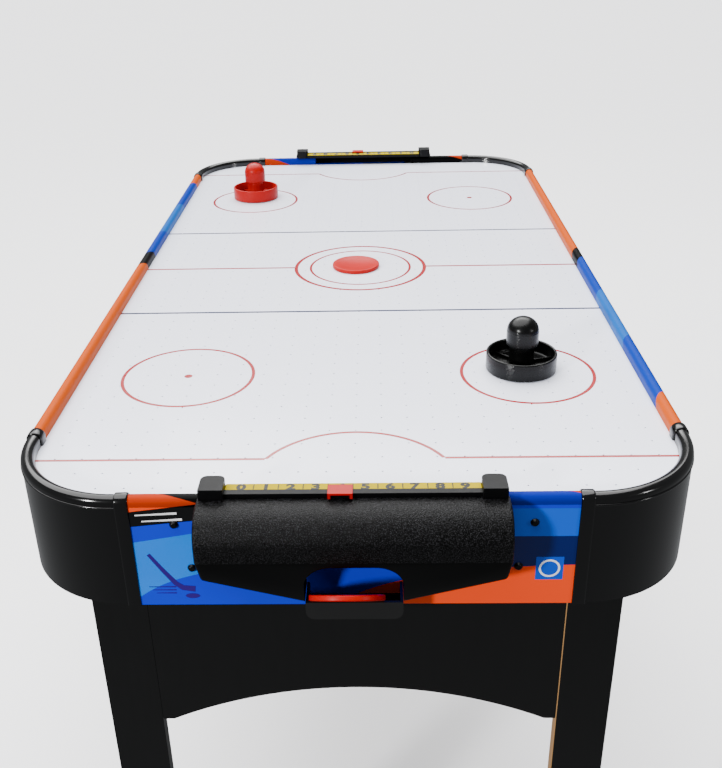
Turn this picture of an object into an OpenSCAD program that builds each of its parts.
// Air hockey table, 4 ft class. Millimetres. +Z up, +Y along the length,
// origin on the floor under the middle of the table.
// "Near" is the -Y end, "left" is the -X side.

/* [Table] */
// Height of the playing surface above the floor
surf_z = 760; // [700:5:820]
// Width of the playing surface between the rails
play_w = 598; // [560:2:640]
// Length of the playing surface between the rails
play_l = 1188; // [1100:4:1300]
// Outside radius of the rounded corners
corner_r = 108; // [100:1:112]
// How far the apron hangs below the playing surface
apron_drop = 100; // [96:1:110]
// Thickness of the MDF apron, leg and panel boards
board_t = 12; // [10:0.5:12]

/* [Rails] */
// Width of the rail cap
rail_w = 12.4; // [12.4:0.2:13]
// Height of the rail cap above the playing surface
rail_h = 12.3; // [12:0.1:13]
// Wall of the plastic rail cap
rail_wall = 1.4; // [1:0.1:1.6]
// Length of the collars at the ends of each corner moulding
collar_l = 12; // [10:1:14]

/* [Goals] */
// Half width of the goal slot
slot_half = 93; // [85:1:98]
// Half width of the goal box outside
box_half = 131; // [128:1:134]
// How far the goal box stands out from the apron
box_deep = 41.6; // [38:0.2:44]
// Radius of the rounded top of the goal box
box_round = 27; // [22:1:28]
// Wall of the goal box and of the puck tray
box_wall = 2.5; // [2:0.1:3]
// Half width of the arched opening and of the puck tray
tray_half = 42; // [40:0.5:44]

/* [Scorers] */
// Distance between two digits of the scorer
digit_pitch = 20.93; // [19:0.01:21]
// Digit that the near slider stands at
near_digit = 4; // [0:1:9]
// Digit that the far slider stands at
far_digit = 5; // [0:1:9]
// Width of a scorer slider
slider_w = 21; // [18:0.5:22]

/* [Playing pieces] */
// Radius of a puck
puck_r = 32.5; // [30:0.5:32.5]
// Thickness of a puck
puck_t = 5; // [4:0.5:5]
// Radius of a pusher
pusher_r = 38; // [36:0.5:40]
// Height of a pusher
pusher_h = 60; // [56:1:64]

/* [Blower] */
// Outside radius of the blower housing
blower_r = 60; // [56:1:66]
// Height of the blower housing
blower_h = 48; // [44:1:52]
// Number of fan blades
blade_count = 9; // [6:1:12]

/* [Hidden] */
$fn = 64;

half_w = play_w / 2;
half_l = play_l / 2;
rail_r = rail_w / 2;
// Centre lines of the side and end rails
rail_x = half_w + rail_r;
rail_y = half_l + rail_r;
// Height of the centre of the rail's round top above the playing surface
rail_cz = rail_h - rail_r;
// Height of the cap's outer lower lip above the playing surface
rail_lip = 3.6;
// Centre of the corner arcs
corner_x = rail_x + rail_r - corner_r;
corner_y = rail_y + rail_r - corner_r;
corner_mid = corner_r - rail_r;
// Air gap between pieces that only touch
gap = 0.2;
running_gap = 0.3;

// Straight stubs between the corner arcs and the collars
side_stub = 4;
end_stub = 0.5;
// Full-thickness step that joins a collar to the corner
step_l = 2;
collar_t = 1.6;
skirt_t = 2.6;
// Half lengths of the straight boards and rails
side_half = corner_y - side_stub - step_l - gap / 2;
end_half = corner_x - end_stub - step_l - gap / 2;

field_t = 4;
frame_h = 26;
frame_w = 20;
base_t = 3;
base_z = -field_t - frame_h - base_t;
field_corner_r = 100;
vent_r = 48;

// Goal box, measured outwards from the outer face of the end rail
box_back = rail_y + rail_r + 0.1;
box_front = box_back + box_deep;
box_top = 15.5;
box_crease = -25;
box_foot = -75;
box_foot_in = 13;
box_corner_z = -46.5;
box_corner_in = 3;
arch_top = -30;
arch_round = 24;

tray_front = box_front - box_foot_in;
tray_floor = -93;
tray_round = 8;
lip_t = box_wall;
tray_ledge = tray_floor + 5;

// Scorer, in distances from the table's centre line across the end
score_in = half_l - 1;
score_out = box_back + 5.5;
block_in = half_l - 2;
block_out = box_back + 9;
score_step = rail_y + rail_r - 0.2;
score_base = rail_h + gap;
score_step_z = box_top + gap;
scale_z = 18.9;
scale_t = 0.5;
scale_slope = 5;
scale_w = 11.4;
bar_in = score_out - 7;
bed_drop = (bar_in - score_in) * tan(scale_slope);
bar_z = 20;
block_x = 107.8;
block_w = 20.8;
block_z = 26;
block_round = 6;
slider_t = 2;
slider_foot_w = 2.5;
slider_foot_z = 16.8;
slider_over = 3.4;
slider_reach = 1.6;

leg_in = 190;
leg_w = 50;
glide_h = 8;
glide_r = 15;
leg_top = -36;
leg_side_top = -80;
bearer_h = 42;
bearer_t = 20;
panel_half = leg_in - gap;
panel_bottom = -250;
leg_y = half_l - gap;

bolt_r = 3;
bolt_head_r = 4.2;
bolt_head_h = 2.6;
// Bolts through the end apron: two into the plenum frame, two through the leg panel into its bearer
frame_bolt = [153.5, -14];
panel_bolt = [142, -59.5];

impeller_r = blower_r - 8;
blower_wall = 3;
motor_r = 16;
shaft_r = 1.5;
flange_t = 3;
// Screws that hold the blower's flange, on a circle round its middle
screw_r = 2;
screw_ring = blower_r + 8;
screw_head_r = 3.5;
screw_head_h = 2;
fit_gap = 0.05;
blower_top = base_z;
blower_bottom = blower_top - blower_h;

// Switch and inlet on the outer face of the right apron
switch_y = 300;
inlet_y = 345;
control_z = -55;
apron_face = rail_x + board_t / 2;
apron_back = rail_x - board_t / 2;
switch_deep = 18;
switch_half_y = 13.5;
switch_half_z = 6;
inlet_r = 5.8;

// Playing pieces at rest
black_x = 178;
black_y = -333;
red_x = -184.5;
red_y = 366;
centre_puck_x = -6;
centre_puck_y = 2;
tray_puck_x = -6;
float_gap = 0.1;
felt_t = 2;

// Angle at which the spare puck leans between the tray's back and its lip
puck_rest_u = box_back + lip_t + puck_t * 0.62 + running_gap;
puck_rest_z = tray_floor + box_wall + running_gap;
puck_lean = atan((box_foot + running_gap - puck_rest_z) / (tray_front - lip_t - puck_rest_u));

// ---- helpers ---------------------------------------------------------------

// Extrudes a profile (X outwards, Y up) along the table's length
module along_y(len) {
    rotate([90, 0, 0]) linear_extrude(len, center = true) children();
}

// Extrudes a profile (X towards +Y, Y up) along the table's width
module along_x(len) {
    rotate([90, 0, 90]) linear_extrude(len, center = true) children();
}

// A child drawn for the far right corner, moved to the corner that is asked for
module at_corner(sx, sy) {
    mirror([sx < 0 ? 1 : 0, 0, 0]) mirror([0, sy < 0 ? 1 : 0, 0]) children();
}

// A child drawn for the far end, turned half round for the near end
module at_end(sy) {
    rotate([0, 0, sy < 0 ? 180 : 0]) children();
}

// A child drawn with z = 0 at the playing surface, lifted to its height above the floor
module on_surface() {
    translate([0, 0, surf_z]) children();
}

// Half disc on the rail's centre line
module dome(r) {
    translate([0, rail_cz]) intersection() {
        circle(r);
        translate([-r, 0]) square(2 * r);
    }
}

// Solid outline of the rail, grown by t
module rail_outline(t) {
    r = rail_r + t;
    dome(r);
    translate([-r, gap]) square([r, rail_cz - gap]);
    translate([0, rail_lip - t]) square([r, rail_cz - rail_lip + t]);
}

// Hollow left for the board inside the cap
module rail_cavity(t) {
    r = rail_r - rail_wall + t;
    dome(r);
    translate([-r, -1]) square([2 * r, rail_cz + 1]);
}

// Section of the U-shaped plastic cap
module cap_profile() {
    difference() {
        rail_outline(0);
        rail_cavity(0);
    }
}

// Section of an MDF apron board with its tongue for the cap
module board_profile() {
    tongue = rail_r - rail_wall - 0.1;
    translate([-board_t / 2, -apron_drop]) square([board_t, apron_drop]);
    translate([-tongue, -1]) square([2 * tongue, rail_cz + 1]);
    translate([0, -1]) square([board_t / 2, rail_lip - gap + 1]);
}

// ---- deck ------------------------------------------------------------------

// Plan of the playing surface, inset by t
module field_plan(t) {
    square([2 * (half_w - t), 2 * corner_y], center = true);
    square([2 * corner_x, 2 * (half_l - t)], center = true);
    for (sx = [-1, 1], sy = [-1, 1]) {
        at_corner(sx, sy) intersection() {
            translate([corner_x, corner_y]) circle(field_corner_r - t, $fn = 96);
            translate([corner_x, corner_y]) square(corner_r);
        }
    }
}

module playfield() {
    color("white") on_surface() translate([0, 0, -field_t])
        linear_extrude(field_t) field_plan(0.1);
}

module plenum_frame() {
    color("burlywood") on_surface() translate([0, 0, -field_t - frame_h]) difference() {
        linear_extrude(frame_h) difference() {
            field_plan(0.5);
            field_plan(frame_w);
        }
        for (sy = [-1, 1], sx = [-1, 1]) {
            translate([sx * frame_bolt[0], sy * half_l, frame_bolt[1] + field_t + frame_h])
                rotate([90, 0, 0]) cylinder(r = bolt_r + fit_gap, h = 30, center = true);
        }
    }
}

// Two cross battens with open ends so that air reaches the whole plenum
module plenum_battens() {
    batten_len = 440;
    color("burlywood") on_surface() for (y = [-0.35 * half_l, 0.35 * half_l]) {
        translate([-batten_len / 2, y - frame_w / 2, -field_t - frame_h])
            cube([batten_len, frame_w, frame_h]);
    }
}

module base_panel() {
    color("peru") on_surface() translate([0, 0, base_z]) difference() {
        linear_extrude(base_t) field_plan(0.5);
        translate([0, 0, -1]) cylinder(r = vent_r, h = base_t + 2);
        for (a = [45:90:315]) {
            rotate([0, 0, a]) translate([screw_ring, 0, -1])
                cylinder(r = screw_r, h = base_t + 2);
        }
    }
}

// ---- aprons and rails ------------------------------------------------------

module side_apron(sx) {
    at_corner(sx, 1) on_surface() difference() {
        translate([rail_x, 0, 0]) along_y(2 * side_half) board_profile();
        if (sx > 0) {
            translate([rail_x, switch_y, control_z])
                cube([40, 2 * (switch_half_y + gap), 2 * (switch_half_z + gap)], center = true);
            translate([rail_x, inlet_y, control_z]) rotate([0, 90, 0])
                cylinder(r = inlet_r + gap, h = 40, center = true);
        }
    }
}

module side_apron_left() { color("royalblue") side_apron(-1); }
module side_apron_right() { color("royalblue") side_apron(1); }

module end_apron(sy) {
    color("royalblue") at_end(sy) on_surface() difference() {
        translate([0, rail_y, 0]) along_x(2 * end_half) board_profile();
        translate([-slot_half, half_l - 5, 0]) cube([2 * slot_half, 30, 40]);
        for (sx = [-1, 1], p = [frame_bolt, panel_bolt]) {
            translate([sx * p[0], rail_y, p[1]]) rotate([90, 0, 0])
                cylinder(r = bolt_r + fit_gap, h = 30, center = true);
        }
    }
}

module end_apron_near() { end_apron(-1); }
module end_apron_far() { end_apron(1); }

module side_rail(sx) {
    color("orange") at_corner(sx, 1) on_surface()
        translate([rail_x, 0, 0]) along_y(2 * side_half) cap_profile();
}

module side_rail_left() { side_rail(-1); }
module side_rail_right() { side_rail(1); }

// The two caps at one end, left and right of the goal slot
module end_rails(sy) {
    color("orange") at_end(sy) on_surface() difference() {
        translate([0, rail_y, 0]) along_x(2 * end_half) cap_profile();
        translate([-slot_half, half_l - 5, -1]) cube([2 * slot_half, 30, 40]);
    }
}

module end_rails_near() { end_rails(-1); }
module end_rails_far() { end_rails(1); }

// ---- corner mouldings ------------------------------------------------------

// Section of the curved part: hollow cap, bead below it and hanging skirt
module corner_profile() {
    skirt_out = rail_r - 0.3;
    difference() {
        rail_outline(0);
        rail_cavity(0);
    }
    translate([skirt_out - skirt_t, -apron_drop]) square([skirt_t, apron_drop + rail_cz]);
    translate([skirt_out - skirt_t, rail_lip - 2.4]) square([skirt_t + 0.9, 2.4]);
}

// Section of a collar, which wraps over the rail and down the board
module collar_profile() {
    difference() {
        union() {
            rail_outline(collar_t);
            translate([0, -apron_drop]) square([rail_r + collar_t, apron_drop + rail_cz]);
        }
        rail_outline(gap / 2);
        translate([-1, -apron_drop - 1]) square([rail_r + gap / 2 + 1, apron_drop + 1 + rail_cz]);
    }
}

// Section of the short step that joins collar and curved part
module step_profile() {
    difference() {
        union() {
            rail_outline(collar_t);
            translate([0, -apron_drop]) square([rail_r + collar_t, apron_drop + rail_cz]);
        }
        rail_cavity(0);
        translate([-rail_r, -apron_drop - 1])
            square([2 * rail_r - 0.3 - skirt_t, apron_drop + 1 + gap]);
    }
}

// One straight end of a corner, from the arc towards +Y of its own frame
module corner_tail(stub) {
    translate([0, -stub / 2, 0]) along_y(stub) corner_profile();
    translate([0, -stub - step_l / 2, 0]) along_y(step_l) step_profile();
    translate([0, -stub - (step_l + collar_l) / 2, 0]) along_y(collar_l - step_l) collar_profile();
}

module corner(sx, sy) {
    color("black") at_corner(sx, sy) on_surface() {
        translate([corner_x, corner_y, 0]) rotate_extrude(angle = 90, $fn = 96)
            translate([corner_mid, 0]) corner_profile();
        translate([rail_x, corner_y, 0]) corner_tail(side_stub);
        translate([corner_x, rail_y, 0]) mirror([1, -1, 0]) corner_tail(end_stub);
    }
}

module corner_near_left() { corner(-1, -1); }
module corner_near_right() { corner(1, -1); }
module corner_far_left() { corner(-1, 1); }
module corner_far_right() { corner(1, 1); }

// ---- legs ------------------------------------------------------------------

// Bolts that hold one leg to its bearer
leg_bolt_x = leg_in + 19;
leg_bolt_z = [-46, -68];

module leg_bearer(sy) {
    color("burlywood") at_end(sy) on_surface() difference() {
        translate([-leg_in - leg_w, leg_y - board_t - bearer_t - gap, base_z - bearer_h - gap])
            cube([2 * (leg_in + leg_w), bearer_t, bearer_h]);
        for (sx = [-1, 1], z = leg_bolt_z) {
            translate([sx * leg_bolt_x, leg_y - board_t, z]) rotate([90, 0, 0])
                cylinder(r = bolt_r + fit_gap, h = 60, center = true);
        }
        for (sx = [-1, 1]) {
            translate([sx * panel_bolt[0], leg_y - board_t, panel_bolt[1]]) rotate([90, 0, 0])
                cylinder(r = bolt_r + fit_gap, h = 60, center = true);
        }
    }
}

module leg_bearer_near() { leg_bearer(-1); }
module leg_bearer_far() { leg_bearer(1); }

// Board between the two legs of one end, with a shallow arch in its lower edge
module leg_panel(sy) {
    arch_r = 420;
    arch_rise = 40;
    color("black") at_end(sy) on_surface() difference() {
        translate([-panel_half, leg_y - board_t, panel_bottom])
            cube([2 * panel_half, board_t, leg_top - panel_bottom]);
        translate([0, leg_y, panel_bottom + arch_rise - arch_r]) rotate([90, 0, 0])
            cylinder(r = arch_r, h = 60, center = true, $fn = 96);
        for (sx = [-1, 1]) {
            translate([sx * panel_bolt[0], leg_y, panel_bolt[1]]) rotate([90, 0, 0])
                cylinder(r = bolt_r + fit_gap, h = 60, center = true);
        }
    }
}

module leg_panel_near() { leg_panel(-1); }
module leg_panel_far() { leg_panel(1); }

// An L-shaped leg of two boards
module leg(sx, sy) {
    foot = glide_h - surf_z;
    color("black") at_corner(sx, sy) on_surface() difference() {
        union() {
            translate([leg_in, leg_y - board_t, foot]) cube([leg_w, board_t, leg_top - foot]);
            translate([leg_in + leg_w - board_t, leg_y - leg_w - board_t, foot])
                cube([board_t, leg_w + 1, leg_side_top - foot]);
        }
        for (z = leg_bolt_z) {
            translate([leg_bolt_x, leg_y, z]) rotate([90, 0, 0])
                cylinder(r = bolt_r + fit_gap, h = 60, center = true);
        }
    }
}

module leg_near_left() { leg(-1, -1); }
module leg_near_right() { leg(1, -1); }
module leg_far_left() { leg(-1, 1); }
module leg_far_right() { leg(1, 1); }

module foot_glides() {
    color("dimgray") for (sx = [-1, 1], sy = [-1, 1]) {
        at_corner(sx, sy) translate([leg_in + leg_w - glide_r - 2, leg_y - glide_r - 2, 0])
            cylinder(r1 = glide_r - 2, r2 = glide_r, h = glide_h);
    }
}

// A domed head with a plain shank behind it, pointing along -Y
module bolt(len) {
    rotate([90, 0, 0]) {
        cylinder(r = bolt_r, h = len);
        translate([0, 0, -bolt_head_h]) cylinder(r1 = bolt_head_r * 0.6, r2 = bolt_head_r, h = bolt_head_h);
    }
}

// Leg bolts come from inside, through the bearer and into the leg board
module leg_bolts() {
    bolt_len = bearer_t + board_t - 2;
    color("silver") on_surface() for (sx = [-1, 1], sy = [-1, 1], z = leg_bolt_z) {
        at_corner(sx, sy) translate([leg_bolt_x, leg_y - board_t - bearer_t - gap, z])
            mirror([0, 1, 0]) bolt(bolt_len);
    }
}

module apron_bolts(sy) {
    face = rail_y + board_t / 2;
    color("black") at_end(sy) on_surface() for (sx = [-1, 1]) {
        translate([sx * frame_bolt[0], face, frame_bolt[1]]) bolt(board_t + 12);
        translate([sx * panel_bolt[0], face, panel_bolt[1]]) bolt(2 * board_t + 12);
    }
}

module apron_bolts_near() { apron_bolts(-1); }
module apron_bolts_far() { apron_bolts(1); }

// ---- goals -----------------------------------------------------------------

// Side section of the goal box, inset by t (X outwards from the table, Y up)
module box_section(t) {
    steps = 24;
    back = box_back - (t > 0 ? 5 : 0);
    mid = box_front - box_round;
    arc_z = box_top - box_round;
    arc = [
        for (i = [0:steps]) let (a = 90 - i * 90 / steps)
            [mid + (box_round - t) * cos(a), arc_z + (box_round - t) * sin(a)]
    ];
    tail = [[box_front - t, box_crease], [tray_front - t, box_foot], [back, box_foot]];
    polygon(concat([[back, box_top - t]], arc, tail));
}

// Front outline of the goal box, inset by t
module box_front_outline(t) {
    low = box_foot + t;
    edge = box_half - t;
    polygon([
        [-edge, box_top + 5], [-edge, box_crease], [-edge + box_corner_in, box_corner_z + t],
        [-tray_half, low], [tray_half, low], [edge - box_corner_in, box_corner_z + t],
        [edge, box_crease], [edge, box_top + 5]
    ]);
}

module box_block(t) {
    intersection() {
        along_x(2 * box_half) box_section(t);
        translate([0, box_back, 0]) rotate([90, 0, 0])
            linear_extrude(200, center = true) box_front_outline(t);
    }
}

module goal_box(sy) {
    color([0.12, 0.12, 0.12]) at_end(sy) on_surface() difference() {
        box_block(0);
        box_block(box_wall);
        // Open bottom above the tray
        translate([-tray_half, box_back - 1, box_foot - 1])
            cube([2 * tray_half, tray_front - box_back - box_wall, 8]);
        // Arched opening in the lower front
        translate([0, tray_front - 10, 0]) rotate([-90, 0, 0]) linear_extrude(40) {
            translate([-tray_half, -arch_top + arch_round]) square([2 * tray_half, 40]);
            translate([-tray_half + arch_round, -arch_top])
                square([2 * (tray_half - arch_round), arch_round + 1]);
            for (sx = [-1, 1]) {
                translate([sx * (tray_half - arch_round), -arch_top + arch_round])
                    circle(arch_round);
            }
        }
    }
}

module goal_box_near() { goal_box(-1); }
module goal_box_far() { goal_box(1); }

// Front outline of the tray with rounded lower corners, inset by t
module tray_outline(t, top) {
    half = tray_half - gap - t;
    low = tray_floor + t;
    round_r = tray_round - t;
    translate([-half, low + round_r]) square([2 * half, top - low - round_r]);
    translate([-half + round_r, low]) square([2 * (half - round_r), round_r + 1]);
    for (sx = [-1, 1]) {
        translate([sx * (half - round_r), low + round_r]) circle(round_r);
    }
}

module puck_tray(sy) {
    color([0.15, 0.15, 0.15]) at_end(sy) on_surface() difference() {
        translate([0, tray_front, 0]) rotate([90, 0, 0])
            linear_extrude(tray_front - box_back) tray_outline(0, box_foot - gap);
        translate([0, tray_front - lip_t, 0]) rotate([90, 0, 0])
            linear_extrude(tray_front - box_back - 2 * lip_t) tray_outline(box_wall, box_foot + 5);
        // The back is only a low ledge, so that the apron shows behind it
        translate([-tray_half + gap + box_wall, box_back - 1, tray_ledge])
            cube([2 * (tray_half - gap - box_wall), lip_t + 2, box_foot - tray_ledge + 1]);
    }
}

module puck_tray_near() { puck_tray(-1); }
module puck_tray_far() { puck_tray(1); }

// ---- scorers ---------------------------------------------------------------

// Section of the beam: a bed for the scale, sloping down to the table, and a raised bar outside it
module beam_profile() {
    polygon([
        [score_in, score_base], [score_step, score_base], [score_step, score_step_z],
        [score_out, score_step_z], [score_out, bar_z], [bar_in, bar_z],
        [bar_in, scale_z], [score_in, scale_z - bed_drop]
    ]);
}

// Plan of an end block, with its two inner corners rounded
module block_plan() {
    deep = block_out - block_in;
    translate([0, block_round]) square([block_w, deep - block_round]);
    translate([block_round, 0]) square([block_w - 2 * block_round, block_round + 1]);
    for (x = [block_round, block_w - block_round]) {
        translate([x, block_round]) circle(block_round);
    }
}

module scorer_body(sy) {
    color([0.2, 0.2, 0.2]) at_end(sy) on_surface() {
        along_x(2 * block_x + 1) beam_profile();
        for (sx = [-1, 1]) {
            mirror([sx < 0 ? 1 : 0, 0, 0]) difference() {
                translate([block_x, block_in, score_base])
                    linear_extrude(block_z - score_base) block_plan();
                translate([block_x - 1, score_step, score_base - 1])
                    cube([block_w + 2, 20, score_step_z - score_base + 1]);
            }
        }
    }
}

module scorer_body_near() { scorer_body(-1); }
module scorer_body_far() { scorer_body(1); }

module scorer_scale(sy) {
    color("yellow") at_end(sy) on_surface()
        translate([-block_x + gap, bar_in - gap, scale_z - gap * tan(scale_slope)])
            rotate([scale_slope, 0, 0]) translate([0, -scale_w, 0])
                cube([2 * (block_x - gap), scale_w, scale_t]);
}

module scorer_scale_near() { scorer_scale(-1); }
module scorer_scale_far() { scorer_scale(1); }

// A saddle over the bar, with two small feet down its front
module scorer_slider(sy, digit) {
    plate_in = bar_in - slider_over;
    foot_in = score_out + running_gap + slider_reach;
    plate_z = bar_z + running_gap;
    // Digit 0 is at the player's left, which is +X in the far end's frame
    slide_x = (4.5 - digit) * digit_pitch;
    color("red") at_end(sy) on_surface() translate([slide_x - slider_w / 2, 0, 0]) {
        translate([0, plate_in, plate_z]) cube([slider_w, foot_in + 2 - plate_in, slider_t]);
        translate([0, bar_in - running_gap - 2, scale_z + scale_t + running_gap])
            cube([slider_w, 2, bar_z - scale_z - scale_t + 1]);
        for (x = [0, slider_w - slider_foot_w]) {
            translate([x, foot_in, slider_foot_z])
                cube([slider_foot_w, 2, plate_z - slider_foot_z + 1]);
        }
    }
}

module scorer_slider_near() { scorer_slider(-1, near_digit); }
module scorer_slider_far() { scorer_slider(1, far_digit); }

// ---- blower ----------------------------------------------------------------

motor_h = 22;
motor_bottom = blower_bottom + 5;
motor_top = motor_bottom + motor_h;
hub_z = motor_top + 1;
hub_h = 10;

module blower_housing() {
    flange = 2 * blower_r + 12;
    color("dimgray") on_surface() translate([0, 0, blower_bottom]) difference() {
        union() {
            cylinder(r = blower_r, h = blower_h, $fn = 96);
            translate([-flange / 2, -flange / 2, blower_h - flange_t])
                cube([flange, flange, flange_t]);
        }
        translate([0, 0, -1]) cylinder(r = blower_r - blower_wall, h = blower_h - blower_wall, $fn = 96);
        cylinder(r = vent_r, h = blower_h + 5, $fn = 96);
        for (a = [45:90:315]) {
            rotate([0, 0, a]) translate([screw_ring, 0, blower_h - flange_t - 1])
                cylinder(r = screw_r, h = flange_t + 2);
        }
    }
}

module blower_motor() {
    color("silver") on_surface() difference() {
        translate([0, 0, motor_bottom]) cylinder(r = motor_r, h = motor_h);
        translate([0, 0, motor_bottom + 4]) cylinder(r = shaft_r + fit_gap, h = motor_h);
    }
}

module motor_shaft() {
    color("gainsboro") on_surface() translate([0, 0, motor_bottom + 4.5])
        cylinder(r = shaft_r, h = hub_z + hub_h - motor_bottom - 4.5);
}

// Fan wheel: hub, disc and pitched blades
module impeller() {
    blade_w = 16;
    color("black") on_surface() translate([0, 0, hub_z]) difference() {
        union() {
            cylinder(r = 14, h = hub_h);
            for (i = [0:blade_count - 1]) {
                rotate([0, 0, i * 360 / blade_count]) translate([12, 0, hub_h / 2])
                    rotate([35, 0, 0]) translate([0, -blade_w / 2, -0.9])
                        cube([impeller_r - 12, blade_w, 1.8]);
            }
        }
        translate([0, 0, -1]) cylinder(r = shaft_r + fit_gap, h = hub_h + 2);
    }
}

// A flat ring
module ring(out_r, in_r) {
    difference() {
        circle(out_r, $fn = 96);
        circle(in_r, $fn = 96);
    }
}

// Round guard under the fan, which also carries the motor
module blower_grille() {
    guard_t = 2.5;
    guard_r = blower_r - blower_wall - gap;
    guard_in = 0.5;
    bar_w = 3;
    color([0.1, 0.1, 0.1]) on_surface() translate([0, 0, blower_bottom + guard_in]) {
        linear_extrude(guard_t) {
            ring(guard_r, guard_r - bar_w);
            for (r = [28, 39]) {
                ring(r + bar_w / 2, r - bar_w / 2);
            }
            for (a = [0:45:135]) {
                rotate(a) square([2 * guard_r - 2, bar_w], center = true);
            }
            circle(motor_r + 1);
        }
        translate([0, 0, guard_t])
            cylinder(r = motor_r - 4, h = motor_bottom - blower_bottom - guard_in - guard_t);
    }
}

module blower_screws() {
    color("silver") on_surface() for (a = [45:90:315]) {
        rotate([0, 0, a]) translate([screw_ring, 0, base_z - flange_t]) {
            cylinder(r = screw_r - fit_gap, h = base_t + flange_t);
            translate([0, 0, -screw_head_h]) cylinder(r = screw_head_r, h = screw_head_h);
        }
    }
}

// ---- electrics -------------------------------------------------------------

// Lead from the switch to the blower, clipped under the base panel
wire_r = 2;
wire_z = base_z - wire_r - gap;
wire_bend = 10;

module blower_wiring() {
    rise_x = apron_back - 16;
    turn_y = switch_y - wire_bend;
    run_x = 10;
    run_start = blower_r + 8.5;
    color("black") on_surface() {
        // Up from behind the switch
        translate([rise_x, switch_y, control_z])
            cylinder(r = wire_r, h = wire_z - wire_bend - control_z);
        // Bend towards the middle of the table
        translate([rise_x - wire_bend, switch_y, wire_z - wire_bend]) rotate([90, 0, 0])
            rotate_extrude(angle = 90) translate([wire_bend, 0]) circle(wire_r, $fn = 32);
        translate([wire_bend + run_x, switch_y, wire_z]) rotate([0, 90, 0])
            cylinder(r = wire_r, h = rise_x - 2 * wire_bend - run_x, $fn = 32);
        // Bend towards the blower
        translate([wire_bend + run_x, turn_y, wire_z]) rotate([0, 0, 90])
            rotate_extrude(angle = 90) translate([wire_bend, 0]) circle(wire_r, $fn = 32);
        translate([run_x, run_start, wire_z]) rotate([-90, 0, 0])
            cylinder(r = wire_r, h = turn_y - run_start, $fn = 32);
        // Tail from the bottom of the riser to the back of the switch
        translate([rise_x, switch_y, control_z]) sphere(wire_r, $fn = 32);
        translate([rise_x, switch_y, control_z]) rotate([0, 90, 0])
            cylinder(r = wire_r, h = apron_face - switch_deep - gap - rise_x, $fn = 32);
    }
}

// Round low-voltage socket, open outwards, with its contact pin
module power_inlet() {
    socket_r = 3.2;
    contact_r = 1.05;
    color([0.1, 0.1, 0.1]) on_surface() translate([0, inlet_y, control_z]) rotate([0, 90, 0]) {
        difference() {
            union() {
                translate([0, 0, apron_back - 4]) cylinder(r = inlet_r, h = board_t + 4);
                translate([0, 0, apron_face]) cylinder(r = 8, h = 2);
            }
            translate([0, 0, apron_back]) cylinder(r = socket_r, h = 30);
        }
        translate([0, 0, apron_back - 1]) cylinder(r = contact_r, h = board_t);
    }
}

bezel_wall = 1.2;
bezel_rim = 2;
rocker_pivot = 4;

module switch_bezel() {
    color([0.1, 0.1, 0.1]) on_surface() translate([apron_face, switch_y, control_z]) difference() {
        union() {
            translate([0, -switch_half_y - bezel_rim, -switch_half_z - bezel_rim])
                cube([2, 2 * (switch_half_y + bezel_rim), 2 * (switch_half_z + bezel_rim)]);
            translate([-switch_deep, -switch_half_y, -switch_half_z])
                cube([switch_deep + 1, 2 * switch_half_y, 2 * switch_half_z]);
        }
        translate([4 - switch_deep, -switch_half_y + bezel_wall, -switch_half_z + bezel_wall])
            cube([30, 2 * (switch_half_y - bezel_wall), 2 * (switch_half_z - bezel_wall)]);
        translate([-rocker_pivot, 0, 0])
            cylinder(r = rocker_pin_r + fit_gap, h = 2 * switch_half_z + 2, center = true);
    }
}

// Rocker that tilts about the vertical axis, drawn in its off position
rocker_half = 11;
rocker_tilt = 9;
rocker_pin_r = 1;

module rocker_switch() {
    rocker_h = 2 * switch_half_z - 3.4;
    color("red") on_surface() translate([apron_face - rocker_pivot, switch_y, control_z])
        rotate([0, 0, -rocker_tilt]) translate([0, 0, -rocker_h / 2]) linear_extrude(rocker_h)
            polygon([
                [-2, -2], [3, -rocker_half], [6.5, -rocker_half], [5, 0],
                [6.5, rocker_half], [3, rocker_half], [-2, 2]
            ]);
    // Pivot pins, which run in the bezel
    color("red") on_surface() translate([apron_face - rocker_pivot, switch_y, control_z])
        cylinder(r = rocker_pin_r, h = 2 * switch_half_z - 0.6, center = true);
}

// ---- playing pieces --------------------------------------------------------

// Section of a puck with rounded rims
module puck_section() {
    edge = 1.2;
    square([puck_r - edge, puck_t]);
    translate([puck_r - edge - 0.01, edge]) square([edge + 0.01, puck_t - 2 * edge]);
    for (z = [edge, puck_t - edge]) {
        translate([puck_r - edge, z]) circle(edge, $fn = 24);
    }
}

module puck() {
    color("orangered") rotate_extrude($fn = 96) puck_section();
}

module puck_centre() {
    on_surface() translate([centre_puck_x, centre_puck_y, float_gap]) puck();
}

module puck_in_tray() {
    at_end(-1) on_surface() translate([-tray_puck_x, puck_rest_u, puck_rest_z])
        rotate([puck_lean, 0, 0]) translate([0, puck_r, 0]) puck();
}

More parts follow.
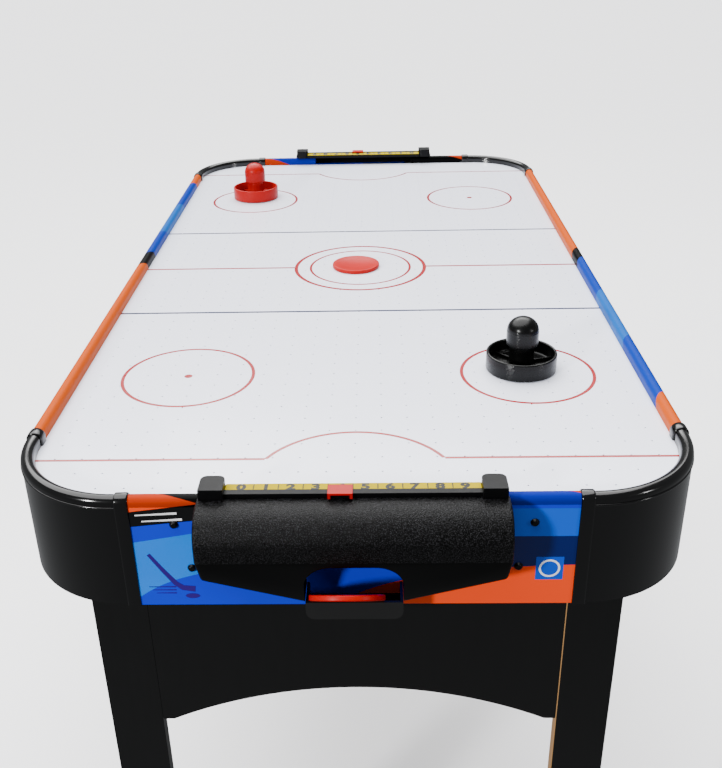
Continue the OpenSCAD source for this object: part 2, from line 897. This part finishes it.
// Open dish with a post and a domed knob; the felt sits in its hollow foot
module pusher_shell() {
    wall = 3.2;
    floor_z = felt_t + 0.5;
    knob_r = 17.2;
    post_r = 13.5;
    knob_z = pusher_h - knob_r;
    knob_side = 14;
    rim_z = 20;
    rotate_extrude($fn = 96) {
        difference() {
            union() {
                translate([0, 0.5]) square([pusher_r, floor_z + 2]);
                translate([pusher_r - wall, 1]) square([wall, rim_z - wall / 2 - 1]);
                translate([pusher_r - wall / 2, rim_z - wall / 2]) circle(wall / 2, $fn = 24);
                square([post_r, knob_z]);
                translate([0, knob_z - knob_side]) square([knob_r, knob_side]);
                intersection() {
                    translate([0, knob_z]) circle(knob_r);
                    square([knob_r, pusher_h]);
                }
            }
            translate([-1, -1]) square([pusher_r - 1.8, felt_t + 1.1]);
        }
    }
}

module felt_pad() {
    difference() {
        cylinder(r = pusher_r - 3, h = felt_t);
        translate([0, 0, -1]) cylinder(r = 14, h = felt_t + 2);
    }
}

module pusher_black() {
    color("black") on_surface() translate([black_x, black_y, float_gap]) pusher_shell();
}

module pusher_black_felt() {
    color("gray") on_surface() translate([black_x, black_y, float_gap]) felt_pad();
}

module pusher_red() {
    color("red") on_surface() translate([red_x, red_y, float_gap]) pusher_shell();
}

module pusher_red_felt() {
    color("gray") on_surface() translate([red_x, red_y, float_gap]) felt_pad();
}

playfield();
plenum_frame();
plenum_battens();
base_panel();
side_apron_left();
side_apron_right();
end_apron_near();
end_apron_far();
side_rail_left();
side_rail_right();
end_rails_near();
end_rails_far();
corner_near_left();
corner_near_right();
corner_far_left();
corner_far_right();
leg_bearer_near();
leg_bearer_far();
leg_panel_near();
leg_panel_far();
leg_near_left();
leg_near_right();
leg_far_left();
leg_far_right();
foot_glides();
leg_bolts();
apron_bolts_near();
apron_bolts_far();
goal_box_near();
goal_box_far();
puck_tray_near();
puck_tray_far();
scorer_body_near();
scorer_body_far();
scorer_scale_near();
scorer_scale_far();
scorer_slider_near();
scorer_slider_far();
blower_housing();
blower_motor();
motor_shaft();
impeller();
blower_grille();
blower_screws();
blower_wiring();
power_inlet();
switch_bezel();
rocker_switch();
pusher_black();
pusher_black_felt();
pusher_red();
pusher_red_felt();
puck_centre();
puck_in_tray();
